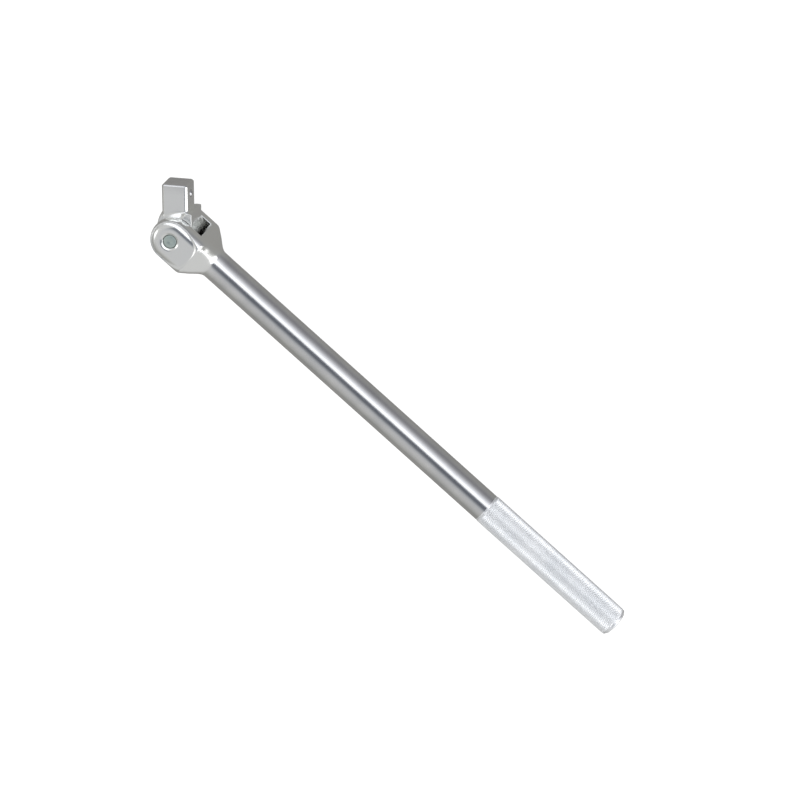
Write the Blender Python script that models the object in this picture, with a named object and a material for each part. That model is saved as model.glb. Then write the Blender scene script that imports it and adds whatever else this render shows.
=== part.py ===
"""Breaker bar with a hinged square drive, in metres, +Z up.

The bar runs along X, from the yoke to the end of the grip. The hinge pin runs along Z, and the
bar lies on its lower ear. The drive tang leans towards +Y. Every piece is modelled about the
centre of the hinge pin, and a root empty then stands the whole tool on the floor, with the
origin under the middle of its bounding box.
"""
import bpy
import bmesh
from math import cos, pi, radians, sin, sqrt
from mathutils import Vector

MM = 0.001

# driving dimensions
SQUARE = 19.05 * MM                 # 3/4 inch drive, across flats
DRIVE_REACH = 37.6 * MM             # pin to the end of the square
SHOULDER = 18.0 * MM                # pin to the shoulder below the square
HANDLE_REACH = 420.0 * MM           # pin to the end of the grip: 18 inches with the head straight
BAR_R = 11.1 * MM
HEAD_ANGLE = radians(50.0)          # how far the head leans from straight

# yoke
YOKE_HALF_W = 15.6 * MM             # half width, along Y
YOKE_HALF_T = 23.4 * MM             # half thickness over the two ears, along Z
EAR_ROUND = 7.2 * MM                # rounding of the ears' outer edges
YOKE_BACK = 18.0 * MM               # where the full section ends, behind the pin
NECK_END = 34.5 * MM                # where the neck has come down to the bar
SLOT_HALF = 13.0 * MM
SLOT_FLOOR = 12.6 * MM              # pin to the floor of the slot
NECK_OVERLAP = 5.0 * MM             # how far the neck starts inside the yoke's body
NECK_INSET = 0.1 * MM               # keeps the neck just inside the yoke and the bar that it joins
NECK_STEPS = 9
BAR_OVERLAP = 7.5 * MM              # how far the bar starts inside the neck

# tang
TONGUE_HALF_W = 12.2 * MM
TONGUE_HALF_T = 12.7 * MM
TONGUE_BACK_R = 12.2 * MM           # round back, about the pin
SHOULDER_BREAK = 1.2 * MM           # chamfer along the shoulder's outer edges
SQUARE_BREAK = 1.7 * MM             # chamfer along the square's four edges
END_BREAK = 1.2 * MM                # chamfer round the end of the square

# hinge pin
PIN_R = 4.7 * MM
PIN_RECESS = 0.9 * MM
PIN_EDGE = 0.5 * MM                 # chamfer round each end
CLEARANCE = 0.3 * MM
SINK_R = 6.8 * MM                   # mouth of the countersink in each ear

# detent ball in the side of the square
BALL_R = 2.75 * MM
BALL_PROUD = 1.35 * MM
BALL_FROM_END = 8.0 * MM
POCKET_DEPTH = 9.5 * MM
LIP_OVERHANG = 0.4 * MM             # staked in over the ball, narrower than the ball itself
LIP_EDGE = 0.05 * MM
LIP_DEPTH = 1.1 * MM
DETENT_WIRE_R = 0.28 * MM
DETENT_COIL_R = 1.9 * MM
DETENT_TURNS = 5

# friction plunger in the floor of the slot
PLUNGER_R = 3.0 * MM
PLUNGER_LENGTH = 8.0 * MM
PLUNGER_CROWN = 0.8 * MM            # domed nose
PLUNGER_BORE_END = 31.0 * MM
FRICTION_WIRE_R = 0.45 * MM
FRICTION_COIL_R = 2.3 * MM
FRICTION_TURNS = 6

# grip end
END_CHAMFER = 2.2 * MM
END_CROWN = 1.0 * MM

PAST = 1.0 * MM                     # how far cutters run past the faces they open
ARC_STEPS = 14
ROUND_STEPS = 36
BORE_STEPS = 28
POCKET_STEPS = 24


def clear_scene():
    for thing in list(bpy.data.objects):
        bpy.data.objects.remove(thing, do_unlink=True)


def new_collection(name):
    group = bpy.data.collections.new(name)
    bpy.context.scene.collection.children.link(group)
    return group


def steel(name, colour, roughness):
    """One metal: a Principled BSDF with the piece's colour and roughness."""
    material = bpy.data.materials.new(name)
    material.use_nodes = True
    shader = material.node_tree.nodes["Principled BSDF"]
    shader.inputs["Base Color"].default_value = (*colour, 1.0)
    shader.inputs["Roughness"].default_value = roughness
    shader.inputs["Metallic"].default_value = 1.0
    material.diffuse_color = (*colour, 1.0)
    return material


def add_object(name, mesh, group, parent=None):
    thing = bpy.data.objects.new(name, mesh)
    group.objects.link(thing)
    thing.parent = parent
    return thing


def add_part(name, mesh, material, parent=None):
    """A piece of the tool, smooth shaded with sharp edges kept."""
    mesh.materials.clear()
    mesh.materials.append(material)
    mesh.shade_smooth()
    mesh.set_sharp_from_angle(angle=radians(30))
    return add_object(name, mesh, PARTS, parent)


def add_cutter(name, mesh, parent=None):
    thing = add_object(name, mesh, CUTTERS, parent)
    thing.hide_render = True
    thing.display_type = "WIRE"
    return thing


def cut(target, cutter):
    change = target.modifiers.new("cut_" + cutter.name, "BOOLEAN")
    change.operation = "DIFFERENCE"
    change.solver = "EXACT"
    change.object = cutter


def join(target, other):
    change = target.modifiers.new("join_" + other.name, "BOOLEAN")
    change.operation = "UNION"
    change.solver = "EXACT"
    change.object = other


def outward(mesh):
    """Turn every face of a closed mesh outwards."""
    bm = bmesh.new()
    bm.from_mesh(mesh)
    bmesh.ops.recalc_face_normals(bm, faces=bm.faces)
    bm.to_mesh(mesh)
    bm.free()
    return mesh


def turned(name, profile, steps=ROUND_STEPS):
    """A solid turned about Z from (radius, height) points that start and end on the axis."""
    bm = bmesh.new()
    points = [bm.verts.new((radius, 0.0, height)) for radius, height in profile]
    for first, second in zip(points, points[1:]):
        bm.edges.new((first, second))
    bmesh.ops.spin(bm, geom=bm.verts[:] + bm.edges[:], cent=(0, 0, 0), axis=(0, 0, 1),
                   angle=2 * pi, steps=steps, use_merge=True)
    bmesh.ops.remove_doubles(bm, verts=bm.verts, dist=0.01 * MM)
    mesh = bpy.data.meshes.new(name)
    bm.to_mesh(mesh)
    bm.free()
    return outward(mesh)


def block(name, low, high):
    """A box between two corners."""
    low, high = Vector(low), Vector(high)
    bm = bmesh.new()
    bmesh.ops.create_cube(bm, size=1.0)
    bmesh.ops.scale(bm, vec=high - low, verts=bm.verts)
    bmesh.ops.translate(bm, vec=(low + high) / 2, verts=bm.verts)
    mesh = bpy.data.meshes.new(name)
    bm.to_mesh(mesh)
    bm.free()
    return mesh


def plate(name, outline, half_thickness, rounding=0.0):
    """A flat outline in XY, extruded both ways along Z, with rounded rims if asked."""
    curve = bpy.data.curves.new(name, "CURVE")
    curve.dimensions = "2D"
    curve.fill_mode = "BOTH"
    curve.extrude = half_thickness - rounding
    curve.bevel_depth = rounding
    curve.bevel_resolution = 3 if rounding else 0
    curve.offset = -rounding
    curve.resolution_u = 1
    curve.render_resolution_u = 0
    spline = curve.splines.new("POLY")
    spline.points.add(len(outline) - 1)
    for point, (x, y) in zip(spline.points, outline):
        point.co = (x, y, 0.0, 1.0)
    spline.use_cyclic_u = True
    guide = add_object(name + "_curve", curve, CUTTERS)
    mesh = bpy.data.meshes.new_from_object(guide.evaluated_get(bpy.context.evaluated_depsgraph_get()))
    bpy.data.objects.remove(guide, do_unlink=True)
    bm = bmesh.new()
    bm.from_mesh(mesh)
    bmesh.ops.remove_doubles(bm, verts=bm.verts, dist=0.005 * MM)
    bm.to_mesh(mesh)
    bm.free()
    mesh.name = name
    return outward(mesh)


def arc(centre, radius, start, end, steps):
    """Points on an arc, ends included; angles in degrees."""
    points = []
    for n in range(steps + 1):
        angle = radians(start + (end - start) * n / steps)
        points.append((centre[0] + radius * cos(angle), centre[1] + radius * sin(angle)))
    return points


def rounded_section(half_y, half_z, corner, steps):
    """Points round a rounded rectangle in YZ, the same number for each corner."""
    points = []
    for quarter, (side_y, side_z) in enumerate(((1, 1), (-1, 1), (-1, -1), (1, -1))):
        centre = (side_y * (half_y - corner), side_z * (half_z - corner))
        points += arc(centre, corner, 90 * quarter, 90 * quarter + 90, steps)
    return points


def loft(name, stations):
    """A solid through sections square to X: (x, points) pairs with the same number of points."""
    bm = bmesh.new()
    rings = [[bm.verts.new((x, y, z)) for y, z in points] for x, points in stations]
    for before, after in zip(rings, rings[1:]):
        for n in range(len(before)):
            after_n = (n + 1) % len(before)
            bm.faces.new((before[n], before[after_n], after[after_n], after[n]))
    bm.faces.new(rings[0])
    bm.faces.new(rings[-1])
    bmesh.ops.remove_doubles(bm, verts=bm.verts, dist=0.001 * MM)
    mesh = bpy.data.meshes.new(name)
    bm.to_mesh(mesh)
    bm.free()
    return outward(mesh)


def coil(name, radius, wire_r, length, turns):
    """A round wire spring up Z from 0 to its length, with closed end turns."""
    steps_per_turn = 12
    total = turns * steps_per_turn
    curve = bpy.data.curves.new(name, "CURVE")
    curve.dimensions = "3D"
    curve.bevel_depth = wire_r
    curve.bevel_resolution = 1
    curve.use_fill_caps = True
    curve.render_resolution_u = 0
    spline = curve.splines.new("POLY")
    spline.points.add(total)
    end_pitch = 2.3 * wire_r        # the first and last turns all but touch their neighbours
    mid_pitch = (length - 2 * wire_r - 2 * end_pitch) / (turns - 2)
    for n, point in enumerate(spline.points):
        turn = n / steps_per_turn
        rise = end_pitch * min(turn, 1.0)
        rise += mid_pitch * min(max(turn - 1.0, 0.0), turns - 2.0)
        rise += end_pitch * max(turn - (turns - 1.0), 0.0)
        angle = 2 * pi * turn
        point.co = (radius * cos(angle), radius * sin(angle), wire_r + rise, 1.0)
    guide = add_object(name + "_curve", curve, CUTTERS)
    mesh = bpy.data.meshes.new_from_object(guide.evaluated_get(bpy.context.evaluated_depsgraph_get()))
    bpy.data.objects.remove(guide, do_unlink=True)
    bm = bmesh.new()
    bm.from_mesh(mesh)
    bmesh.ops.remove_doubles(bm, verts=bm.verts, dist=0.005 * MM)
    bm.to_mesh(mesh)
    bm.free()
    return outward(mesh)


def turn_to(thing, direction, place):
    """Stand an object's own Z along a direction, with its origin at a place."""
    thing.location = place
    thing.rotation_mode = "QUATERNION"
    thing.rotation_quaternion = Vector(direction).to_track_quat("Z", "Y")


def neck_station(x):
    """The neck's section at x behind the pin: its thickness falls before its width does."""
    run = min(max((x - YOKE_BACK) / (NECK_END - YOKE_BACK), 0.0), 1.0)
    ease = run * run * (3.0 - 2.0 * run)
    half_z = YOKE_HALF_T - NECK_INSET + (BAR_R - YOKE_HALF_T) * (run + 2.0 * ease) / 3.0
    half_y = YOKE_HALF_W - NECK_INSET + (BAR_R - YOKE_HALF_W) * ease
    corner = EAR_ROUND + (min(half_y, half_z) * 0.999 - EAR_ROUND) * run
    return x, rounded_section(half_y, half_z, corner, 7)


def build_handle(root):
    """The forged handle: a slotted yoke, a neck, and a round bar with the grip on its end."""
    front = arc((0.0, 0.0), YOKE_HALF_W, 90, 270, ARC_STEPS)
    ears = [(YOKE_BACK, YOKE_HALF_W)] + front + [(YOKE_BACK, -YOKE_HALF_W)]
    handle = add_part("handle_bar", plate("yoke", ears, YOKE_HALF_T, EAR_ROUND), PLATED, root)

    neck_start = SLOT_FLOOR - NECK_OVERLAP
    full = YOKE_BACK - EAR_ROUND    # the yoke's rounded back edge begins here
    stops = [neck_start] + [full + (NECK_END - full) * n / NECK_STEPS for n in range(NECK_STEPS + 1)]
    neck = add_cutter("neck", loft("neck", [neck_station(x) for x in stops]), root)

    tail = NECK_END - BAR_OVERLAP
    profile = [(0.0, tail), (BAR_R, tail), (BAR_R, HANDLE_REACH - END_CHAMFER - END_CROWN),
               (BAR_R - END_CHAMFER, HANDLE_REACH - END_CROWN), (0.0, HANDLE_REACH)]
    bar = add_cutter("bar", turned("bar", profile), root)
    turn_to(bar, (1, 0, 0), (0, 0, 0))

    beside = YOKE_HALF_W + PAST
    opening = block("slot", (-beside, -beside, -SLOT_HALF), (SLOT_FLOOR, beside, SLOT_HALF))
    slot = add_cutter("slot", opening, root)
    reach = YOKE_HALF_T + PAST
    sink = PIN_RECESS + CLEARANCE
    hole_r = PIN_R + CLEARANCE
    widen = SINK_R + (SINK_R - hole_r) * (reach - YOKE_HALF_T) / sink
    hole_profile = [(0.0, reach), (widen, reach), (hole_r, YOKE_HALF_T - sink),
                    (hole_r, sink - YOKE_HALF_T), (widen, -reach), (0.0, -reach)]
    hole = add_cutter("pin_hole", turned("pin_hole", hole_profile, BORE_STEPS), root)

    bore_r = PLUNGER_R + CLEARANCE
    bore_profile = [(0.0, SLOT_FLOOR - PAST), (bore_r, SLOT_FLOOR - PAST),
                    (bore_r, PLUNGER_BORE_END), (0.0, PLUNGER_BORE_END + bore_r * 0.6)]
    bore = add_cutter("plunger_bore", turned("plunger_bore", bore_profile, BORE_STEPS), root)
    turn_to(bore, (1, 0, 0), (0, 0, 0))

    join(handle, neck)
    join(handle, bar)
    for cutter in (slot, hole, bore):
        cut(handle, cutter)


def build_tang(hinge):
    """The hinged head: a tongue round the pin, a square drive, and the ball's pocket in its side.

    It is modelled pointing along its own +X, with the ball in its -Y side.
    """
    back = arc((0.0, 0.0), TONGUE_BACK_R, 90, 270, ARC_STEPS)
    outline = [(SHOULDER - SHOULDER_BREAK, TONGUE_HALF_W)] + back
    outline += [(SHOULDER - SHOULDER_BREAK, -TONGUE_HALF_W), (SHOULDER, SHOULDER_BREAK - TONGUE_HALF_W),
                (SHOULDER, TONGUE_HALF_W - SHOULDER_BREAK)]
    tang = add_part("drive_tang", plate("tongue", outline, TONGUE_HALF_T), PLATED, hinge)

    half = SQUARE / 2
    stations = []
    for x, inset in ((SHOULDER - 6.0 * MM, 0.0), (DRIVE_REACH - END_BREAK, 0.0), (DRIVE_REACH, END_BREAK)):
        side, flat = half - inset, half - SQUARE_BREAK
        corners = ((side, flat), (flat, side), (-flat, side), (-side, flat),
                   (-side, -flat), (-flat, -side), (flat, -side), (side, -flat))
        stations.append((x, corners))
    square = add_cutter("square", loft("square", stations), hinge)
    join(tang, square)

    hole_r = PIN_R + CLEARANCE
    reach = TONGUE_HALF_T + PAST
    hole = add_cutter("tang_hole", turned("tang_hole", [(0.0, reach), (hole_r, reach), (hole_r, -reach),
                                                        (0.0, -reach)], BORE_STEPS), hinge)
    cut(tang, hole)

    pocket_r = BALL_R + CLEARANCE
    lip_r = pocket_r - LIP_OVERHANG
    profile = [(0.0, half + PAST), (lip_r, half + PAST), (lip_r, half - LIP_EDGE),
               (pocket_r, half - LIP_DEPTH), (pocket_r, half - POCKET_DEPTH),
               (0.0, half - POCKET_DEPTH - pocket_r * 0.5)]
    pocket = add_cutter("ball_pocket", turned("ball_pocket", profile, POCKET_STEPS), hinge)
    turn_to(pocket, (0, -1, 0), (DRIVE_REACH - BALL_FROM_END, 0, 0))
    cut(tang, pocket)


def build_pin(root):
    """The hinge pin, pressed into both ears and set a little below their faces."""
    half = YOKE_HALF_T - PIN_RECESS
    profile = [(0.0, half), (PIN_R - PIN_EDGE, half), (PIN_R, half - PIN_EDGE),
               (PIN_R, PIN_EDGE - half), (PIN_R - PIN_EDGE, -half), (0.0, -half)]
    add_part("hinge_pin", turned("hinge_pin", profile, BORE_STEPS), PIN_STEEL, root)


def build_detent(hinge):
    """The ball that holds a socket on, and the spring behind it."""
    ball_x = DRIVE_REACH - BALL_FROM_END
    ball_out = SQUARE / 2 + BALL_PROUD - BALL_R
    bm = bmesh.new()
    bmesh.ops.create_uvsphere(bm, u_segments=20, v_segments=12, radius=BALL_R)
    mesh = bpy.data.meshes.new("detent_ball")
    bm.to_mesh(mesh)
    bm.free()
    ball = add_part("detent_ball", mesh, BALL_STEEL, hinge)
    turn_to(ball, (0, -1, 0), (ball_x, -ball_out, 0))

    seat = SQUARE / 2 - POCKET_DEPTH + CLEARANCE
    touch = BALL_R + CLEARANCE + DETENT_WIRE_R
    top = ball_out - sqrt(touch * touch - DETENT_COIL_R * DETENT_COIL_R) + DETENT_WIRE_R
    wire = coil("detent_spring", DETENT_COIL_R, DETENT_WIRE_R, top - seat, DETENT_TURNS)
    spring = add_part("detent_spring", wire, SPRING_STEEL, hinge)
    turn_to(spring, (0, -1, 0), (ball_x, -seat, 0))


def build_friction(root):
    """The plunger that rubs on the tang's round back, and the spring behind it."""
    nose = TONGUE_BACK_R + CLEARANCE
    tail = nose + PLUNGER_LENGTH
    profile = [(0.0, nose), (PLUNGER_R / 2, nose + PLUNGER_CROWN / 4), (PLUNGER_R, nose + PLUNGER_CROWN),
               (PLUNGER_R, tail), (0.0, tail)]
    plunger = add_part("friction_plunger", turned("friction_plunger", profile, POCKET_STEPS), PIN_STEEL, root)
    turn_to(plunger, (1, 0, 0), (0, 0, 0))

    seat = tail + CLEARANCE
    length = PLUNGER_BORE_END - CLEARANCE - seat
    wire = coil("friction_spring", FRICTION_COIL_R, FRICTION_WIRE_R, length, FRICTION_TURNS)
    spring = add_part("friction_spring", wire, SPRING_STEEL, root)
    turn_to(spring, (1, 0, 0), (seat, 0, 0))


def stand_on_floor(root):
    """Move the root so that the origin is under the middle of the tool's bounding box."""
    graph = bpy.context.evaluated_depsgraph_get()
    corners = []
    for thing in PARTS.objects:
        if thing.type == "MESH":
            seen = thing.evaluated_get(graph)
            corners += [seen.matrix_world @ vertex.co for vertex in seen.data.vertices]
    low = Vector([min(corner[axis] for corner in corners) for axis in range(3)])
    high = Vector([max(corner[axis] for corner in corners) for axis in range(3)])
    root.location = (-(low.x + high.x) / 2, -(low.y + high.y) / 2, -low.z)


clear_scene()
PARTS = new_collection("breaker_bar")
CUTTERS = new_collection("cutters")

PLATED = steel("plated_steel", (0.78, 0.78, 0.77), 0.22)
PIN_STEEL = steel("pin_steel", (0.55, 0.58, 0.57), 0.35)
BALL_STEEL = steel("ball_steel", (0.62, 0.62, 0.62), 0.12)
SPRING_STEEL = steel("spring_steel", (0.42, 0.42, 0.43), 0.3)

ROOT = add_object("tool_root", None, PARTS)
HINGE = add_object("head_hinge", None, PARTS, ROOT)
HINGE.rotation_euler = (0.0, 0.0, pi - HEAD_ANGLE)

build_handle(ROOT)
build_tang(HINGE)
build_pin(ROOT)
build_detent(HINGE)
build_friction(ROOT)
bpy.context.view_layer.update()
stand_on_floor(ROOT)
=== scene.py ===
from math import cos, pi, radians, sin, sqrt, tan

import bmesh
import bpy
import numpy as np
from mathutils import Matrix, Vector


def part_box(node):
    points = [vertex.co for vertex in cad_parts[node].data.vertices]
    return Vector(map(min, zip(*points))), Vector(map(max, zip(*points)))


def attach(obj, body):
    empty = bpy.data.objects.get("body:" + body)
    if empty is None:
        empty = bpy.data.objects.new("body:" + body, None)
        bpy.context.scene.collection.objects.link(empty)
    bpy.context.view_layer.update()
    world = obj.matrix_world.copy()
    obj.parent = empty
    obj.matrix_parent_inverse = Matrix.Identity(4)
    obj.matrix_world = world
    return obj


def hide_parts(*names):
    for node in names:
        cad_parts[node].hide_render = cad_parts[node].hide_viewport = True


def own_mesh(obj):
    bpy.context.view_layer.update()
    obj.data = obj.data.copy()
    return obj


# Looks of the breaker bar, in millimetres until a mesh is made. The handle and the head are
# modelled about the centre of the hinge pin: the handle with its bar along +X, and the head with
# the square along its own +X and the ball on its -Y side.

MM = 0.001

# sizes that the CAD model states
SQUARE_HALF = 9.525
DRIVE_REACH = 37.6
CORNER_BREAK = 1.7              # flats along the square's corners
END_BREAK = 1.2                 # and round its end
SHOULDER = 18.0
TONGUE_BACK_R = 12.2
TONGUE_HALF_T = 12.7
HANDLE_REACH = 420.0
BAR_R = 11.1
EAR_HALF_T = 23.4
SLOT_HALF = 13.0
PIN_R = 4.7
PIN_HALF = 22.5
CLEARANCE = 0.3
SINK_R = 6.8
HEAD_TURN = radians(130.0)      # from the handle's +X to the square's own +X
BALL_R = 2.75
BALL_OUT = 8.125                # ball's centre from the middle of the square
BALL_X = 29.6
DETENT_SEAT = 0.325
LIP_OVERHANG = 0.4              # staked in over the ball
LIP_EDGE = 0.05
LIP_DEPTH = 1.1
PLUNGER_R = 3.0
PLUNGER_TAIL = 20.5
BORE_END = 31.0
DETENT_COIL_R = 1.9             # springs: radius to the middle of the wire, its own, and turns
DETENT_WIRE = 0.28
DETENT_TURNS = 5
FRICTION_COIL_R = 2.3
FRICTION_WIRE = 0.45
FRICTION_TURNS = 6

# finer shape of the forging
EAR_HALF_W = 15.6
EAR_FRONT = 15.2                # front of the ears, from the pin
EAR_ROUND = 7.2                 # forged rounding along the ears' outer edges
SINK_DEPTH = 1.1                # from the ear's face down to the mouth of the pin hole
SLOT_FLOOR = 13.7
TONGUE_LEFT = 12.2              # half width of the tongue away from the ball
TONGUE_RIGHT = 13.2             # and on the ball's side
PLUNGER_NOSE = 13.3             # clear of the tongue's wider side
BOSS_RISE = 1.35                # the forging behind the machined face stands this much higher
FACE_R = 18.4                   # the machined face ends on an arc about the pin
JOIN_X = 40.0                   # behind this the handle is a plain bar
CUT_FALL = 0.85                 # slope by which the tongue's flats are cut back to the shoulder
CUT_LEAN = 0.45                 # and more deeply on the side away from the ball

# knurl
GRIP_START = 294.5
GRIP_END = 416.6
DIAMONDS = 48                   # diamonds round the bar
AROUND = DIAMONDS * 4           # mesh points round the bar
BAR_RINGS = 12                  # rings of points along the plain bar
HELIX = radians(30.0)
KNURL_TOP = 0.30                # crests, above the bar
KNURL_DEPTH = 0.66              # crests to valleys, if they were sharp
KNURL_FLAT = 0.45               # share of that depth left by the flattened crests

# camera: its place from the pin in metres, the way from the tool to it, its roll and its lens
EYE = Vector((24.4, 1066.7, 2269.4)) * MM
BACK = Vector((-0.0685, 0.4186, 0.9056)).normalized()
ROLL = radians(-146.51)
LENS = 158.8

FLOOR_Z = -0.0011               # metres: just under the forging behind the lower face

# finishes
CLOUDS = 55.0                   # scale of the cloudy colour
PAINTED_SHADE = (0.26, 0.25, 0.24)      # colour of the painted shade in the hollows
HOLLOW_REACH = 7.0              # how far round it a point is looked at for how open it is, for the painted shade
FORGED = (0.97, 0.98, 0.965)    # colour of the plating on the forging
FORGED_ROUGHER = 0.03
SATIN_FADE = 10.0               # length over which the forging's plating gives way to the bar's

# how finely the curved surfaces are cut
BALL_STEPS = 40
PIN_STEPS = 96
TURNED_STEPS = 64
COIL_STEPS = 32                 # points in a turn of wire
HANDLE_STEP = 0.5               # and the grids, in millimetres
TANG_STEP = 0.4
SETTLE_ROUNDS = 5               # times that each point is moved on to the surface
SETTLE_SHARE = 0.9              # and the share of the way that it goes each time
TINY = 0.02                     # step for slopes
SAMPLE = 0.1                    # step for blurred outlines

# slopes, and what turns the height above each into roughly the distance from it
RAMP_SLOPE, RAMP_TRUE = 0.5, 0.89       # front of the raised forging
SINK_TRUE = 0.82                        # countersink round the pin
CUT_TRUE = 0.77                         # cut-back flats of the tongue
LEFT_SLOPE, LEFT_TRUE = 0.5, 0.89       # side of the tongue beside the square


def smin(a, b, k):
    """Smooth minimum: blends over a width k."""
    h = np.maximum(k - np.abs(a - b), 0.0) / k
    return np.minimum(a, b) - h * h * k * 0.25


def smax(a, b, k):
    """Smooth maximum: blends over a width k."""
    return -smin(-a, -b, k)


def softened(knots, blur):
    """A polyline through (x, value) knots with its corners blurred, as a function of x."""
    xs = np.arange(-60.0, 90.0, SAMPLE)
    values = np.interp(xs, *zip(*knots))
    reach = np.arange(-4 * blur, 4 * blur + SAMPLE / 2, SAMPLE)
    kernel = np.exp(-0.5 * (reach / blur) ** 2)
    padded = np.pad(values, len(kernel) // 2, mode="edge")
    smooth = np.convolve(padded, kernel / kernel.sum(), mode="valid")[: len(xs)]
    return lambda x: np.interp(x, xs, smooth)


# outline of the neck along the bar: half height, half width and the radius along its edges
boss_z = softened(((18.6, EAR_HALF_T + BOSS_RISE), (20.1, 23.1), (21.9, 20.6), (24.7, 17.9),
                   (27.7, 15.2), (30.7, 12.6), (33.2, BAR_R)), 0.8)
neck_y = softened(((17.5, EAR_HALF_W), (21.7, 15.0), (24.7, 14.2), (27.7, 12.9), (30.7, 11.7),
                   (33.7, BAR_R)), 0.9)
neck_r = softened(((17.5, EAR_ROUND), (21.7, 8.4), (24.7, 8.9), (27.7, 9.8), (30.7, 10.8),
                   (33.2, BAR_R)), 0.9)


def rounded_slab(side, z, half_w, half_t, radius):
    """Distance to a slab with rounded edges; side is the distance across from its middle."""
    a = side - half_w + radius
    b = np.abs(z) - half_t + radius
    outside = np.hypot(np.maximum(a, 0.0), np.maximum(b, 0.0))
    return np.minimum(np.maximum(a, b), 0.0) + outside - radius


def handle_distance(x, y, z):
    """Yoke, neck and the start of the bar."""
    from_pin = np.hypot(x, y)
    side = np.where(x < 0.0, np.hypot(x * EAR_HALF_W / EAR_FRONT, y), np.abs(y))
    half_y = neck_y(x)
    top = boss_z(x)
    radius = np.minimum(neck_r(x), np.minimum(half_y, top))
    ears = rounded_slab(side, z, half_y, np.minimum(top, EAR_HALF_T), radius)
    boss = rounded_slab(side, z, half_y, top, radius)
    ramp = (np.abs(z) - EAR_HALF_T - (from_pin - FACE_R) * RAMP_SLOPE) * RAMP_TRUE
    d = smin(ears, smax(boss, ramp, 0.4), 0.2)

    slot = rounded_slab(x - SLOT_FLOOR + 60.0, z, 60.0, SLOT_HALF, 0.8)
    d = smax(d, -slot, 0.9)

    hole_r = PIN_R + CLEARANCE
    sink = (SINK_R - from_pin) * SINK_DEPTH / (SINK_R - hole_r) - (EAR_HALF_T - np.abs(z))
    d = smax(smax(d, sink * SINK_TRUE, 0.3), hole_r - from_pin, 0.3)

    bore_middle = 20.0
    bore = np.maximum(np.hypot(y, z) - PLUNGER_R - CLEARANCE,
                      np.abs(x - bore_middle) - (BORE_END - bore_middle))
    return np.maximum(d, -bore)


def tang_distance(x, y, z):
    """Tongue round the pin and the square drive; the ball is on the head's own -Y side."""
    half_w = np.where(y < 0.0, TONGUE_RIGHT, TONGUE_LEFT)
    side = np.where(x < 0.0, np.hypot(x * half_w / TONGUE_BACK_R, y), np.abs(y)) - half_w
    slab = smax(side, np.abs(z) - TONGUE_HALF_T, 0.9)
    lean = CUT_LEAN * smax(y - 1.0, 0.0 * y, 6.0)
    rise = smax(-6.0 - y, 0.0 * y, 2.0)
    fall = CUT_FALL * (x - SHOULDER) + lean - rise
    cut = (np.abs(z) - SQUARE_HALF + fall) * CUT_TRUE
    left = (y - SQUARE_HALF + LEFT_SLOPE * (x - SHOULDER)) * LEFT_TRUE
    tongue = smax(smax(smax(slab, cut, 0.8), left, 1.2), x - SHOULDER, 0.7)

    ay, az = np.abs(y), np.abs(z)
    end_break = np.maximum(x - DRIVE_REACH + END_BREAK, 0.0)
    flats = smax(ay, az, 0.3) - SQUARE_HALF + end_break
    corners = (ay + az) * sqrt(0.5) - (2 * SQUARE_HALF - CORNER_BREAK) * sqrt(0.5) + end_break * 0.8
    square = smax(smax(flats, corners, 0.5), x - DRIVE_REACH, 0.5)
    square = np.maximum(square, 4.0 - x)
    d = smin(tongue, square, 0.8)

    d = smax(d, PIN_R + CLEARANCE - np.hypot(x, y), 0.4)

    out = -y
    pocket_r = BALL_R + CLEARANCE
    from_axis = np.hypot(x - BALL_X, z)
    lip = LIP_OVERHANG * np.clip((out - SQUARE_HALF + LIP_DEPTH) / (LIP_DEPTH - LIP_EDGE), 0.0, 1.0)
    return smax(d, -np.maximum(from_axis - pocket_r + lip, -out), 0.2)


def skin(distance, low, high, step):
    """Surface of a distance function as points and quads, open where it leaves the grid.

    One point for each grid cell that the surface crosses, settled onto the surface itself.
    """
    axes = [np.arange(a, b + step * 0.5, step) for a, b in zip(low, high)]
    d = distance(*np.meshgrid(*axes, indexing="ij"))
    inside = d < 0.0
    cells = tuple(n - 1 for n in d.shape)
    total = np.zeros(cells + (3,))
    count = np.zeros(cells)
    for axis in range(3):
        u, v = [other for other in range(3) if other != axis]
        for du in (0, 1):
            for dv in (0, 1):
                first, second = [slice(0, n) for n in cells], [slice(0, n) for n in cells]
                second[axis] = slice(1, cells[axis] + 1)
                for other, shift in ((u, du), (v, dv)):
                    first[other] = second[other] = slice(shift, cells[other] + shift)
                one, two = d[tuple(first)], d[tuple(second)]
                crossed = inside[tuple(first)] != inside[tuple(second)]
                share = np.where(crossed, one / np.where(crossed, one - two, 1.0), 0.0)
                total[..., axis] += share
                total[..., u] += crossed * du
                total[..., v] += crossed * dv
                count += crossed
    used = count > 0
    number = np.full(cells, -1)
    number[used] = np.arange(used.sum())
    points = np.argwhere(used) + total[used] / count[used][:, None]
    points = np.array(low) + points * step

    quads = []
    for axis in range(3):
        u, v = (axis + 1) % 3, (axis + 2) % 3
        first, second = [slice(1, n) for n in cells], [slice(1, n) for n in cells]
        first[axis], second[axis] = slice(0, cells[axis]), slice(1, cells[axis] + 1)
        one, two = inside[tuple(first)], inside[tuple(second)]
        for here, there, flip in ((one, two, False), (two, one, True)):
            at = np.argwhere(here & ~there)
            at[:, u] += 1
            at[:, v] += 1
            corners = []
            for du, dv in ((1, 1), (0, 1), (0, 0), (1, 0)):
                cell = at.copy()
                cell[:, u] -= du
                cell[:, v] -= dv
                corners.append(number[tuple(cell.T)])
            quad = np.stack(corners, axis=1)
            quads.append(quad[:, ::-1] if flip else quad)
    quads = np.concatenate(quads)

    for _ in range(SETTLE_ROUNDS):
        points -= normals_of(distance, points) * distance(*points.T)[:, None] * SETTLE_SHARE
    return points, quads[(quads >= 0).all(axis=1)]


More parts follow.
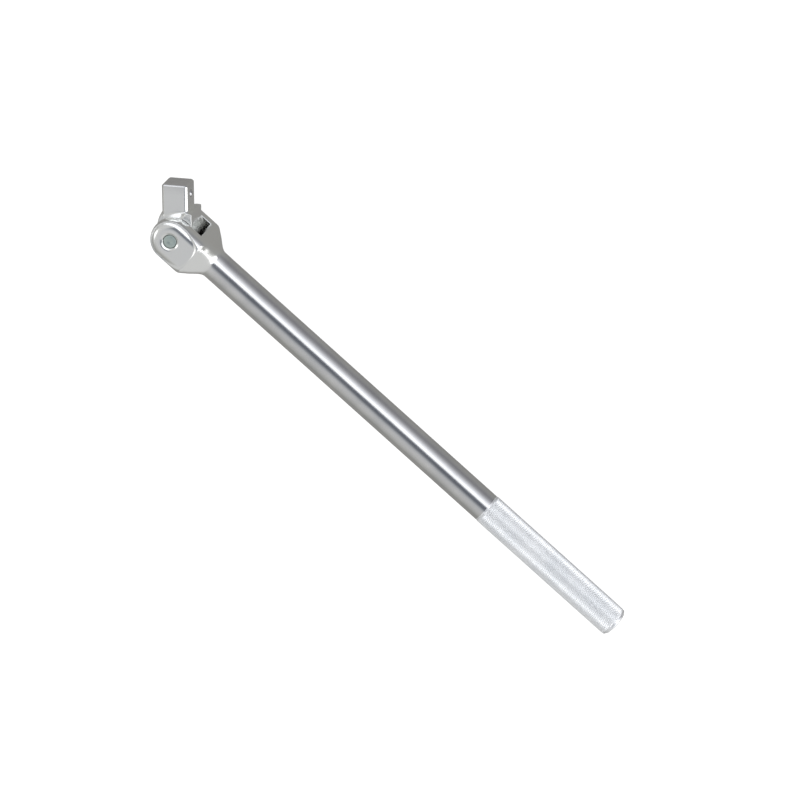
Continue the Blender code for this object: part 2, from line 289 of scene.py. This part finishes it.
def normals_of(distance, points):
    """Slope of the distance function at each point, made one long."""
    slope = np.empty_like(points)
    for axis in range(3):
        shift = np.zeros(3)
        shift[axis] = TINY
        slope[:, axis] = distance(*(points + shift).T) - distance(*(points - shift).T)
    return slope / np.maximum(np.linalg.norm(slope, axis=1, keepdims=True), 1e-9)


def zip_rings(ring_a, angles_a, ring_b, angles_b):
    """Triangles between two rings of points about the same axis, each in order of angle."""
    faces = []
    a = b = 0
    count_a, count_b = len(ring_a), len(ring_b)
    while a < count_a or b < count_b:
        next_a = angles_a[(a + 1) % count_a] + 2 * pi * ((a + 1) // count_a)
        next_b = angles_b[(b + 1) % count_b] + 2 * pi * ((b + 1) // count_b)
        if b >= count_b or (a < count_a and next_a < next_b):
            faces.append((ring_a[a % count_a], ring_b[b % count_b], ring_a[(a + 1) % count_a]))
            a += 1
        else:
            faces.append((ring_a[a % count_a], ring_b[b % count_b], ring_b[(b + 1) % count_b]))
            b += 1
    return faces


def knurl_height(i, j):
    """Height of the knurl at mesh point i round the bar and ring j along it."""
    def ridge(n):
        share = (n / 4.0) % 1.0
        return 1.0 - abs(2.0 * share - 1.0)
    lowered = min(ridge(i + j), ridge(i - j), KNURL_FLAT) - KNURL_FLAT
    return lowered * KNURL_DEPTH + KNURL_TOP


def grip_faces(first, second, i, j):
    """Two triangles for one cell of the knurl, split along whichever valley crosses it."""
    a, b = first[i], first[(i + 1) % AROUND]
    c, d = second[i], second[(i + 1) % AROUND]
    if (i - j) % 4 == 0:
        return (a, d, c), (a, b, d)
    if (i + j + 1) % 4 == 0:
        return (a, b, c), (b, d, c)
    if ((i - j) // 2 + (i + j + 1) // 2) % 2:
        return (a, d, c), (a, b, d)
    return (a, b, c), (b, d, c)


def handle_mesh():
    """One closed mesh: forged yoke and neck, plain bar, knurled grip and crowned end."""
    points, quads = skin(handle_distance, (-17.0, -17.0, -25.5), (JOIN_X, 17.0, 25.5), HANDLE_STEP)
    verts = points.tolist()
    faces = quads.tolist()

    edges = np.sort(np.concatenate([quads[:, [n, (n + 1) % 4]] for n in range(4)]), axis=1)
    pairs, uses = np.unique(edges, axis=0, return_counts=True)
    rim = np.unique(pairs[uses == 1])
    angles = np.arctan2(points[rim, 2], points[rim, 1]) % (2 * pi)
    order = np.argsort(angles)
    rim, angles = rim[order].tolist(), angles[order].tolist()
    for n, angle in zip(rim, angles):
        verts[n] = [JOIN_X, BAR_R * cos(angle), BAR_R * sin(angle)]

    def add_ring(x, radius):
        start = len(verts)
        for i in range(AROUND):
            r = radius(i) if callable(radius) else radius
            angle = 2 * pi * i / AROUND
            verts.append((x, r * cos(angle), r * sin(angle)))
        return list(range(start, start + AROUND))

    turn = [2 * pi * i / AROUND for i in range(AROUND)]
    bar_start = JOIN_X + 0.6
    ring = add_ring(bar_start, BAR_R)
    faces += [face[::-1] for face in zip_rings(rim, angles, ring, turn)]

    def bridge(first, second):
        for i in range(AROUND):
            k = (i + 1) % AROUND
            faces.append((first[i], first[k], second[k], second[i]))

    for n in range(1, BAR_RINGS + 1):
        following = add_ring(bar_start + (GRIP_START - 1.0 - bar_start) * n / BAR_RINGS, BAR_R)
        bridge(ring, following)
        ring = following

    pitch = 2 * pi * BAR_R / DIAMONDS / tan(HELIX)
    rings = int((GRIP_END - GRIP_START) / (pitch / 4))
    plain_faces = len(faces)
    for j in range(rings + 1):
        fade = min(j / 2.0, (rings - j) / 2.0, 1.0)
        x = GRIP_START + j * pitch / 4
        following = add_ring(x, lambda i: BAR_R + knurl_height(i, j) * fade)
        for i in range(AROUND):
            faces.extend(grip_faces(ring, following, i, j - 1))
        ring = following
    knurl_faces = len(faces)

    crown = BAR_R - 2.25
    profile = [(GRIP_END + 0.5, BAR_R), (GRIP_END + 0.9, BAR_R - 0.12),
               (HANDLE_REACH - 1.3, BAR_R - 2.0), (HANDLE_REACH - 1.0, crown)]
    profile += [(HANDLE_REACH - share ** 2, crown * share) for share in (0.93, 0.8, 0.6, 0.4, 0.2)]
    for x, radius in profile:
        following = add_ring(x, radius)
        bridge(ring, following)
        ring = following
    verts.append((HANDLE_REACH, 0.0, 0.0))
    tip = len(verts) - 1
    for i in range(AROUND):
        faces.append((ring[i], ring[(i + 1) % AROUND], tip))

    mesh = bpy.data.meshes.new("handle")
    mesh.from_pydata([Vector(v) * MM for v in verts], [], faces)
    number = np.arange(len(faces))
    mesh.polygons.foreach_set("material_index", (number >= plain_faces).astype(int))
    shade_handle(mesh, np.array(verts), (number >= plain_faces) & (number < knurl_faces))
    return mesh


def shade_handle(mesh, verts, flat):
    """Normals from the true surface up to the crown, and from the faces themselves on the knurl."""
    normals = normals_of(handle_distance, verts)
    behind = verts[:, 0] > GRIP_END + 1.0
    normals[behind] = 0.0
    corners = np.empty(len(mesh.loops), int)
    mesh.loops.foreach_get("vertex_index", corners)
    sizes = np.empty(len(mesh.polygons), int)
    mesh.polygons.foreach_get("loop_total", sizes)
    faces = np.empty(len(mesh.polygons) * 3)
    mesh.polygons.foreach_get("normal", faces)
    shading = normals[corners]
    on_flat = np.repeat(flat, sizes)
    shading[on_flat] = np.repeat(faces.reshape(-1, 3), sizes, axis=0)[on_flat]
    mesh.shade_smooth()
    mesh.normals_split_custom_set(shading.tolist())


def skin_mesh(name, distance, low, high, step):
    """A closed mesh of a distance function, shaded with the true surface's normals."""
    points, quads = skin(distance, low, high, step)
    mesh = bpy.data.meshes.new(name)
    mesh.from_pydata((points * MM).tolist(), [], quads.tolist())
    mesh.shade_smooth()
    mesh.normals_split_custom_set_from_vertices(normals_of(distance, points).tolist())
    return mesh


def turned(name, profile, steps):
    """A solid turned about Z from (radius, height) points that start and end on the axis."""
    bm = bmesh.new()
    points = [bm.verts.new((radius * MM, 0.0, height * MM)) for radius, height in profile]
    for first, second in zip(points, points[1:]):
        bm.edges.new((first, second))
    bmesh.ops.spin(bm, geom=bm.verts[:] + bm.edges[:], cent=(0, 0, 0), axis=(0, 0, 1),
                   angle=2 * pi, steps=steps, use_merge=True)
    bmesh.ops.remove_doubles(bm, verts=bm.verts, dist=0.002 * MM)
    bmesh.ops.recalc_face_normals(bm, faces=bm.faces)
    mesh = bpy.data.meshes.new(name)
    bm.to_mesh(mesh)
    bm.free()
    mesh.shade_smooth()
    mesh.set_sharp_from_angle(angle=radians(40))
    return mesh


def rounded_corner(radius, height, edge, steps=5):
    """Profile points that round the outer top corner of a turned piece."""
    points = []
    for n in range(steps + 1):
        angle = radians(90.0 * n / steps)
        points.append((radius - edge + edge * sin(angle), height - edge + edge * cos(angle)))
    return points


def coil(name, radius, wire_r, length, turns):
    """A round wire spring up Z from 0 to its length, with closed end turns."""
    total = turns * COIL_STEPS
    curve = bpy.data.curves.new(name, "CURVE")
    curve.dimensions = "3D"
    curve.bevel_depth = wire_r * MM
    curve.bevel_resolution = 4
    curve.use_fill_caps = True
    spline = curve.splines.new("POLY")
    spline.points.add(total)
    end_pitch = 2.3 * wire_r
    mid_pitch = (length - 2 * wire_r - 2 * end_pitch) / (turns - 2)
    for n, point in enumerate(spline.points):
        turn = n / COIL_STEPS
        rise = end_pitch * min(turn, 1.0)
        rise += mid_pitch * min(max(turn - 1.0, 0.0), turns - 2.0)
        rise += end_pitch * max(turn - (turns - 1.0), 0.0)
        angle = 2 * pi * turn
        point.co = (radius * cos(angle) * MM, radius * sin(angle) * MM, (wire_r + rise) * MM, 1.0)
    guide = bpy.data.objects.new(name + "_guide", curve)
    mesh = bpy.data.meshes.new_from_object(guide)
    bpy.data.objects.remove(guide)
    bm = bmesh.new()
    bm.from_mesh(mesh)
    bmesh.ops.remove_doubles(bm, verts=bm.verts, dist=0.002 * MM)
    bmesh.ops.recalc_face_normals(bm, faces=bm.faces)
    bm.to_mesh(mesh)
    bm.free()
    mesh.shade_smooth()
    return mesh


def shader_nodes(name):
    """A new material, its node tree and its shader."""
    material = bpy.data.materials.new(name)
    material.use_nodes = True
    tree = material.node_tree
    return material, tree, tree.nodes["Principled BSDF"]


def noise(tree, vector, scale, detail, roughness):
    """A cloud pattern about 0.5."""
    node = tree.nodes.new("ShaderNodeTexNoise")
    node.inputs["Scale"].default_value = scale
    node.inputs["Detail"].default_value = detail
    node.inputs["Roughness"].default_value = roughness
    tree.links.new(vector, node.inputs["Vector"])
    return node.outputs["Fac"]


def stretched(tree, scale):
    """Object coordinates, scaled differently along each axis."""
    coordinates = tree.nodes.new("ShaderNodeTexCoord")
    mapping = tree.nodes.new("ShaderNodeMapping")
    mapping.inputs["Scale"].default_value = scale
    tree.links.new(coordinates.outputs["Object"], mapping.inputs["Vector"])
    return mapping.outputs["Vector"]


def between(tree, value, low, high, from_low=0.3, from_high=0.7):
    """A value that runs from low to high as another runs from from_low to from_high."""
    node = tree.nodes.new("ShaderNodeMapRange")
    node.inputs["From Min"].default_value = from_low
    node.inputs["From Max"].default_value = from_high
    node.inputs["To Min"].default_value = low
    node.inputs["To Max"].default_value = high
    tree.links.new(value, node.inputs["Value"])
    return node.outputs["Result"]


def mixed_colour(tree, value, first, second):
    """A colour that goes from the first to the second as a value goes from 0 to 1."""
    node = tree.nodes.new("ShaderNodeMix")
    node.data_type = "RGBA"
    node.inputs["A"].default_value = (*first, 1.0)
    node.inputs["B"].default_value = (*second, 1.0)
    tree.links.new(value, node.inputs["Factor"])
    return node.outputs["Result"]


def bump(tree, height, strength, distance, below=None):
    """Fine relief, up to a distance in millimetres, on top of any relief below it."""
    node = tree.nodes.new("ShaderNodeBump")
    node.inputs["Strength"].default_value = strength
    node.inputs["Distance"].default_value = distance * MM
    tree.links.new(height, node.inputs["Height"])
    if below is not None:
        tree.links.new(below, node.inputs["Normal"])
    return node.outputs["Normal"]


def painted_hollow_shade(tree, colour, shader):
    """Painted shade: darkens a metal's colour in its hollows; returns the socket for how open the
    place is.
    """
    node = tree.nodes.new("ShaderNodeMix")
    node.data_type = "RGBA"
    node.inputs["A"].default_value = (*PAINTED_SHADE, 1.0)
    tree.links.new(colour, node.inputs["B"])
    tree.links.new(node.outputs["Result"], shader.inputs["Base Color"])
    return node.inputs["Factor"]


def satin(tree, colour, roughness, end):
    """Lighter and duller forged plating, up to where x is end, and the polished finish after."""
    where = tree.nodes.new("ShaderNodeSeparateXYZ")
    tree.links.new(stretched(tree, (1.0, 1.0, 1.0)), where.inputs["Vector"])
    forged = between(tree, where.outputs["X"], 1.0, 0.0, (end - SATIN_FADE) * MM, end * MM)
    tint = tree.nodes.new("ShaderNodeMix")
    tint.data_type = "RGBA"
    tint.inputs["B"].default_value = (*FORGED, 1.0)
    tree.links.new(forged, tint.inputs["Factor"])
    tree.links.new(colour, tint.inputs["A"])
    rougher = tree.nodes.new("ShaderNodeMath")
    rougher.operation = "MULTIPLY_ADD"
    rougher.inputs[1].default_value = FORGED_ROUGHER
    tree.links.new(forged, rougher.inputs[0])
    tree.links.new(roughness, rougher.inputs[2])
    return tint.outputs["Result"], rougher.outputs["Value"]


def metal(name, dull, bright, smooth, rough, grain, grain_depth, lines=None, line_depth=0.0,
          metallic=1.0, satin_to=None):
    """A worked metal: cloudy colour and roughness, a fine grain, faint lines left by finishing, and
    painted shade in its hollows.

    dull and bright are its colours, smooth and rough its roughness, and grain and lines the scales
    of its relief, with their depths in millimetres.
    """
    material, tree, shader = shader_nodes(name)
    shader.inputs["Metallic"].default_value = metallic
    even = stretched(tree, (1.0, 1.0, 1.0))
    clouds = noise(tree, even, CLOUDS, 4.0, 0.6)
    specks = noise(tree, even, grain, 3.0, 0.65)
    worked = mixed_colour(tree, between(tree, clouds, 0.0, 1.0), dull, bright)
    roughness = between(tree, specks, smooth, rough)
    if satin_to:
        worked, roughness = satin(tree, worked, roughness, satin_to)
    # painted shade: ambient occlusion darkens the colour in hollows and between parts, where shade
    # falls
    hollow = tree.nodes.new("ShaderNodeAmbientOcclusion")
    hollow.samples = 8
    hollow.inputs["Distance"].default_value = HOLLOW_REACH * MM
    openness = between(tree, hollow.outputs["AO"], 0.0, 1.0, 0.05, 0.6)
    tree.links.new(openness, painted_hollow_shade(tree, worked, shader))
    tree.links.new(roughness, shader.inputs["Roughness"])
    normal = bump(tree, specks, 0.6, grain_depth)
    if lines:
        strokes = noise(tree, stretched(tree, lines), 1.0, 2.0, 0.5)
        normal = bump(tree, strokes, 0.5, line_depth, normal)
    tree.links.new(normal, shader.inputs["Normal"])
    material.diffuse_color = (*bright, 1.0)
    return material


def place(name, mesh, materials, matrix, body, slot, *nodes):
    """Put a piece in the scene, let it ride on its body, and let it stand for its CAD nodes."""
    thing = bpy.data.objects.new(name, mesh)
    bpy.context.scene.collection.objects.link(thing)
    for material in materials:
        mesh.materials.append(material)
    thing.matrix_world = matrix
    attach(thing, body)
    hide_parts(*nodes)
    return thing


def soft_light(name, centre, direction, distance, size, radiance):
    """A round softbox seen from the object in a direction; radiance 1 reflects as white."""
    data = bpy.data.lights.new(name, "AREA")
    data.shape = "DISK"
    data.size = size
    data.energy = radiance * pi * pi * size * size / 4
    light = bpy.data.objects.new(name, data)
    bpy.context.scene.collection.objects.link(light)
    direction = Vector(direction).normalized()
    light.rotation_mode = "QUATERNION"
    across = Vector((1.0, 0.0, 0.0))
    if abs(direction.x) > 0.7:
        across = Vector((0.0, 1.0, 0.0))
    up = direction.cross(across).normalized()
    across = up.cross(direction)
    facing = Matrix((across, up, direction)).transposed()
    light.matrix_world = Matrix.LocRotScale(centre + direction * distance, facing, None)
    return light


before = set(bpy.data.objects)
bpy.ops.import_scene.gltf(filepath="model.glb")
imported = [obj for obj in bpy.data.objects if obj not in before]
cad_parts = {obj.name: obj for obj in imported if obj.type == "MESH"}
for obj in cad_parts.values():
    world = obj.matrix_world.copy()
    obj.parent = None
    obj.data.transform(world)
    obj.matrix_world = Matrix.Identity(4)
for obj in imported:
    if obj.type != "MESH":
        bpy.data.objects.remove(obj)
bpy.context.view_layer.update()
pin_low, pin_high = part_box("hinge_pin")
pin = (Vector(pin_low) + Vector(pin_high)) / 2

# camera
camera_data = bpy.data.cameras.new("camera")
camera_data.lens = LENS
camera_data.clip_end = 20.0
camera = bpy.data.objects.new("camera", camera_data)
bpy.context.scene.collection.objects.link(camera)
camera.rotation_mode = "QUATERNION"
turned_up = (-BACK).to_track_quat("-Z", "Y").to_matrix() @ Matrix.Rotation(ROLL, 3, "Z")
camera.matrix_world = Matrix.LocRotScale(pin + EYE, turned_up, None)
bpy.context.scene.camera = camera
bpy.context.scene.view_settings.view_transform = "Standard"

# finishes
PLATED = metal("plated_steel", dull=(0.74, 0.745, 0.75), bright=(0.86, 0.86, 0.855), smooth=0.13,
               rough=0.22, grain=1500.0, grain_depth=0.012, lines=(60.0, 2500.0, 2500.0),
               line_depth=0.004, satin_to=JOIN_X)
KNURLED = metal("plated_knurl", dull=(0.80, 0.82, 0.84), bright=(0.90, 0.91, 0.92), smooth=0.26,
                rough=0.40, grain=2500.0, grain_depth=0.006, metallic=0.85)
PIN_STEEL = metal("pin_steel", dull=(0.56, 0.66, 0.63), bright=(0.72, 0.82, 0.78), smooth=0.26,
                  rough=0.42, grain=1800.0, grain_depth=0.012)
BALL_STEEL = metal("ball_steel", dull=(0.60, 0.60, 0.61), bright=(0.72, 0.72, 0.73), smooth=0.08,
                   rough=0.16, grain=3000.0, grain_depth=0.003)
SPRING_STEEL = metal("spring_steel", dull=(0.30, 0.30, 0.31), bright=(0.46, 0.45, 0.44),
                     smooth=0.22, rough=0.38, grain=4000.0, grain_depth=0.004)

# pieces
at_pin = Matrix.Translation(pin)
at_head = at_pin @ Matrix.Rotation(HEAD_TURN, 4, "Z")
along_x = Matrix.Rotation(radians(90.0), 4, "Y")
to_ball = Matrix.Rotation(radians(90.0), 4, "X")

place("handle", handle_mesh(), (PLATED, KNURLED), at_pin, "handle", "plated_steel", "handle_bar")

tang = skin_mesh("head", tang_distance, (-13.5, -13.5, -14.0), (39.0, 13.5, 14.0), TANG_STEP)
place("head", tang, (PLATED,), at_head, "head", "plated_steel", "drive_tang")

pin_profile = [(0.0, PIN_HALF - 0.25), (0.9, PIN_HALF - 0.2), (1.3, PIN_HALF),
               (PIN_R - 0.6, PIN_HALF), (PIN_R - 0.5, PIN_HALF - 0.05)]
pin_profile += rounded_corner(PIN_R, PIN_HALF - 0.2, 0.4)
pin_profile += [(radius, -height) for radius, height in reversed(pin_profile)]
place("pin", turned("pin", pin_profile, PIN_STEPS), (PIN_STEEL,), at_pin, "handle", "pin_steel",
      "hinge_pin")

ball_profile = [(BALL_R * sin(pi * n / BALL_STEPS), BALL_R * cos(pi * n / BALL_STEPS))
                for n in range(BALL_STEPS + 1)]
ball_profile[0] = (0.0, BALL_R)
ball_profile[-1] = (0.0, -BALL_R)
ball_at = at_head @ Matrix.Translation(Vector((BALL_X, -BALL_OUT, 0.0)) * MM) @ to_ball
place("ball", turned("ball", ball_profile, TURNED_STEPS), (BALL_STEEL,), ball_at, "ball",
      "ball_steel", "detent_ball")

reach = BALL_R + CLEARANCE + DETENT_WIRE
detent_length = BALL_OUT - sqrt(reach * reach - DETENT_COIL_R ** 2) + DETENT_WIRE - DETENT_SEAT
detent_at = at_head @ Matrix.Translation(Vector((BALL_X, -DETENT_SEAT, 0.0)) * MM) @ to_ball
detent = coil("ball_spring", DETENT_COIL_R, DETENT_WIRE, detent_length, DETENT_TURNS)
detent = place("ball_spring", detent, (SPRING_STEEL,), detent_at, "head", "spring_steel",
               "detent_spring")

crowned = ((0.0, 0.0), (0.3, 0.06), (0.6, 0.22), (0.85, 0.5), (1.0, 0.9))
plunger_profile = [(PLUNGER_R * share, PLUNGER_NOSE + fall) for share, fall in crowned]
plunger_profile += [(PLUNGER_R, PLUNGER_TAIL - 0.3), (PLUNGER_R - 0.3, PLUNGER_TAIL),
                    (0.0, PLUNGER_TAIL)]
place("plunger", turned("plunger", plunger_profile, TURNED_STEPS), (PIN_STEEL,), at_pin @ along_x,
      "plunger", "pin_steel", "friction_plunger")

friction_seat = PLUNGER_TAIL + CLEARANCE
friction_length = BORE_END - CLEARANCE - friction_seat
friction_at = at_pin @ Matrix.Translation(Vector((friction_seat, 0.0, 0.0)) * MM) @ along_x
friction = coil("plunger_spring", FRICTION_COIL_R, FRICTION_WIRE, friction_length, FRICTION_TURNS)
friction = place("plunger_spring", friction, (SPRING_STEEL,), friction_at, "handle", "spring_steel",
                 "friction_spring")

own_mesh(detent)
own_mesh(friction)

# floor
floor_mesh = bpy.data.meshes.new("floor")
floor_corners = [(x, y, FLOOR_Z) for x, y in ((-4, -4), (4, -4), (4, 4), (-4, 4))]
floor_mesh.from_pydata(floor_corners, [], [(0, 1, 2, 3)])
floor = bpy.data.objects.new("floor", floor_mesh)
bpy.context.scene.collection.objects.link(floor)
floor_material, floor_tree, floor_shader = shader_nodes("pale_floor")
floor_shader.inputs["Base Color"].default_value = (0.14, 0.14, 0.14, 1.0)
floor_shader.inputs["Roughness"].default_value = 0.9
floor_shader.inputs["Specular IOR Level"].default_value = 0.0
floor_shader.inputs["Emission Color"].default_value = (1.0, 1.0, 1.0, 1.0)
floor_shader.inputs["Emission Strength"].default_value = 0.92
floor_mesh.materials.append(floor_material)
floor.visible_glossy = False

# light: a soft studio, told by the angle about the bar in degrees, from straight up towards +Y
STUDIO = ((-180, (0.275, 0.27, 0.265)), (-130, (0.30, 0.295, 0.285)), (-108, (0.32, 0.315, 0.305)),
          (-85, (0.31, 0.31, 0.30)), (-68, (0.42, 0.42, 0.41)), (-53, (0.485, 0.485, 0.48)),
          (-39, (0.54, 0.54, 0.545)), (-27, (0.54, 0.54, 0.55)), (-15, (0.49, 0.50, 0.52)),
          (-6, (0.34, 0.355, 0.38)), (2, (0.175, 0.185, 0.21)), (10, (0.125, 0.135, 0.16)),
          (20, (0.135, 0.145, 0.17)), (26, (0.25, 0.26, 0.29)), (30, (1.1, 1.12, 1.17)),
          (36, (1.4, 1.42, 1.45)), (46, (1.35, 1.37, 1.42)), (53, (1.05, 1.06, 1.12)),
          (64, (0.71, 0.72, 0.76)), (76, (0.45, 0.45, 0.48)), (88, (0.30, 0.30, 0.32)),
          (101, (0.235, 0.235, 0.25)), (116, (0.28, 0.28, 0.285)), (133, (0.31, 0.31, 0.305)),
          (155, (0.30, 0.295, 0.285)), (180, (0.275, 0.27, 0.265)))

world = bpy.data.worlds.new("studio")
bpy.context.scene.world = world
world.use_nodes = True
sky = world.node_tree
background = sky.nodes["Background"]
direction = sky.nodes.new("ShaderNodeTexCoord")
split = sky.nodes.new("ShaderNodeSeparateXYZ")
sky.links.new(direction.outputs["Generated"], split.inputs["Vector"])
angle = sky.nodes.new("ShaderNodeMath")
angle.operation = "ARCTAN2"
sky.links.new(split.outputs["Y"], angle.inputs[0])
sky.links.new(split.outputs["Z"], angle.inputs[1])
along = sky.nodes.new("ShaderNodeMapRange")
along.inputs["From Min"].default_value = -pi
along.inputs["From Max"].default_value = pi
sky.links.new(angle.outputs["Value"], along.inputs["Value"])
shade = sky.nodes.new("ShaderNodeValToRGB")
ramp = shade.color_ramp
ramp.elements[0].color = (*STUDIO[0][1], 1.0)
ramp.elements[-1].color = (*STUDIO[-1][1], 1.0)
for degrees, colour in STUDIO[1:-1]:
    ramp.elements.new((degrees + 180.0) / 360.0).color = (*colour, 1.0)
sky.links.new(along.outputs["Result"], shade.inputs["Fac"])


def eased(value, low, high):
    """0 up to low, 1 from high on, and a smooth change between; low may be the larger."""
    node = sky.nodes.new("ShaderNodeMapRange")
    node.interpolation_type = "SMOOTHERSTEP"
    node.inputs["From Min"].default_value = low
    node.inputs["From Max"].default_value = high
    sky.links.new(value, node.inputs["Value"])
    return node.outputs["Result"]


def lightened(colour, grey, *factors):
    """The sky's colour, but never darker than a grey where every factor is 1."""
    share = factors[0]
    for factor in factors[1:]:
        product = sky.nodes.new("ShaderNodeMath")
        product.operation = "MULTIPLY"
        sky.links.new(share, product.inputs[0])
        sky.links.new(factor, product.inputs[1])
        share = product.outputs["Value"]
    node = sky.nodes.new("ShaderNodeMix")
    node.data_type = "RGBA"
    node.blend_type = "LIGHTEN"
    node.inputs["B"].default_value = (*grey, 1.0)
    sky.links.new(share, node.inputs["Factor"])
    sky.links.new(colour, node.inputs["A"])
    return node.outputs["Result"]


towards_x, towards_y, towards_z = (split.outputs[axis] for axis in "XYZ")
colour = lightened(shade.outputs["Color"], (0.58, 0.58, 0.58), eased(towards_x, 0.4, 0.7),
                   eased(towards_y, 0.05, -0.15), eased(towards_z, -0.98, -0.8))
colour = lightened(colour, (0.55, 0.55, 0.55), eased(towards_x, -0.25, -0.5),
                   eased(towards_z, 0.05, 0.35))
sky.links.new(colour, background.inputs["Color"])
seen = sky.nodes.new("ShaderNodeBackground")
seen.inputs["Color"].default_value = (1.0, 1.0, 1.0, 1.0)
camera_ray = sky.nodes.new("ShaderNodeLightPath")
choose = sky.nodes.new("ShaderNodeMixShader")
sky.links.new(camera_ray.outputs["Is Camera Ray"], choose.inputs["Fac"])
sky.links.new(background.outputs["Background"], choose.inputs[1])
sky.links.new(seen.outputs["Background"], choose.inputs[2])
sky.links.new(choose.outputs["Shader"], sky.nodes["World Output"].inputs["Surface"])

middle = pin + Vector((0.2, 0.0, 0.0))  # of the whole tool, nearly
soft_light("right", pin, (0.92, 0.33, 0.22), distance=1.2, size=1.1, radiance=1.1)
soft_light("left", pin, (-0.70, -0.57, 0.42), distance=1.2, size=0.56, radiance=0.8)
overhead = soft_light("overhead", middle, (0.0, 0.1, 1.0), distance=2.0, size=4.5, radiance=1.9)
overhead.visible_glossy = False
